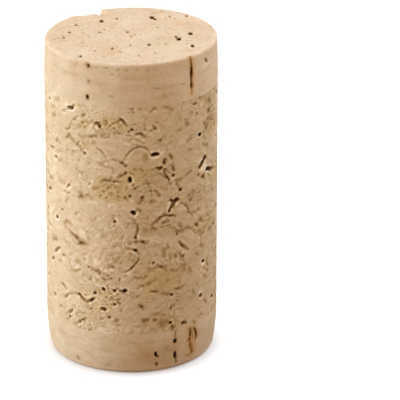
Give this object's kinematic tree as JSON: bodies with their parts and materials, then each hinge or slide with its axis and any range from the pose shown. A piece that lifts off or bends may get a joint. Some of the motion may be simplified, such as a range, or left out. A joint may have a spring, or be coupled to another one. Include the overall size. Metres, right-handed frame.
{
  "type": "cork stopper",
  "caption": "Cylindrical cork bottle stopper: a pressed granule body with a natural cork disc glued to each end.",
  "frame": {"origin": "centre of the foot, on the surface that the stopper stands on", "axes": "+Z along the stopper's axis from the foot to the top face, +X towards the high side of the top face, -Y towards the viewer"},
  "size_m": [0.0234, 0.0234, 0.0452],
  "materials": {
    "natural_cork": "matte, ground",
    "granulated_cork": "matte, ground"
  },
  "bodies": {
    "root": {"top_disc": "natural_cork", "granule_body": "granulated_cork", "bottom_disc": "natural_cork"}
  },
  "joints": []
}
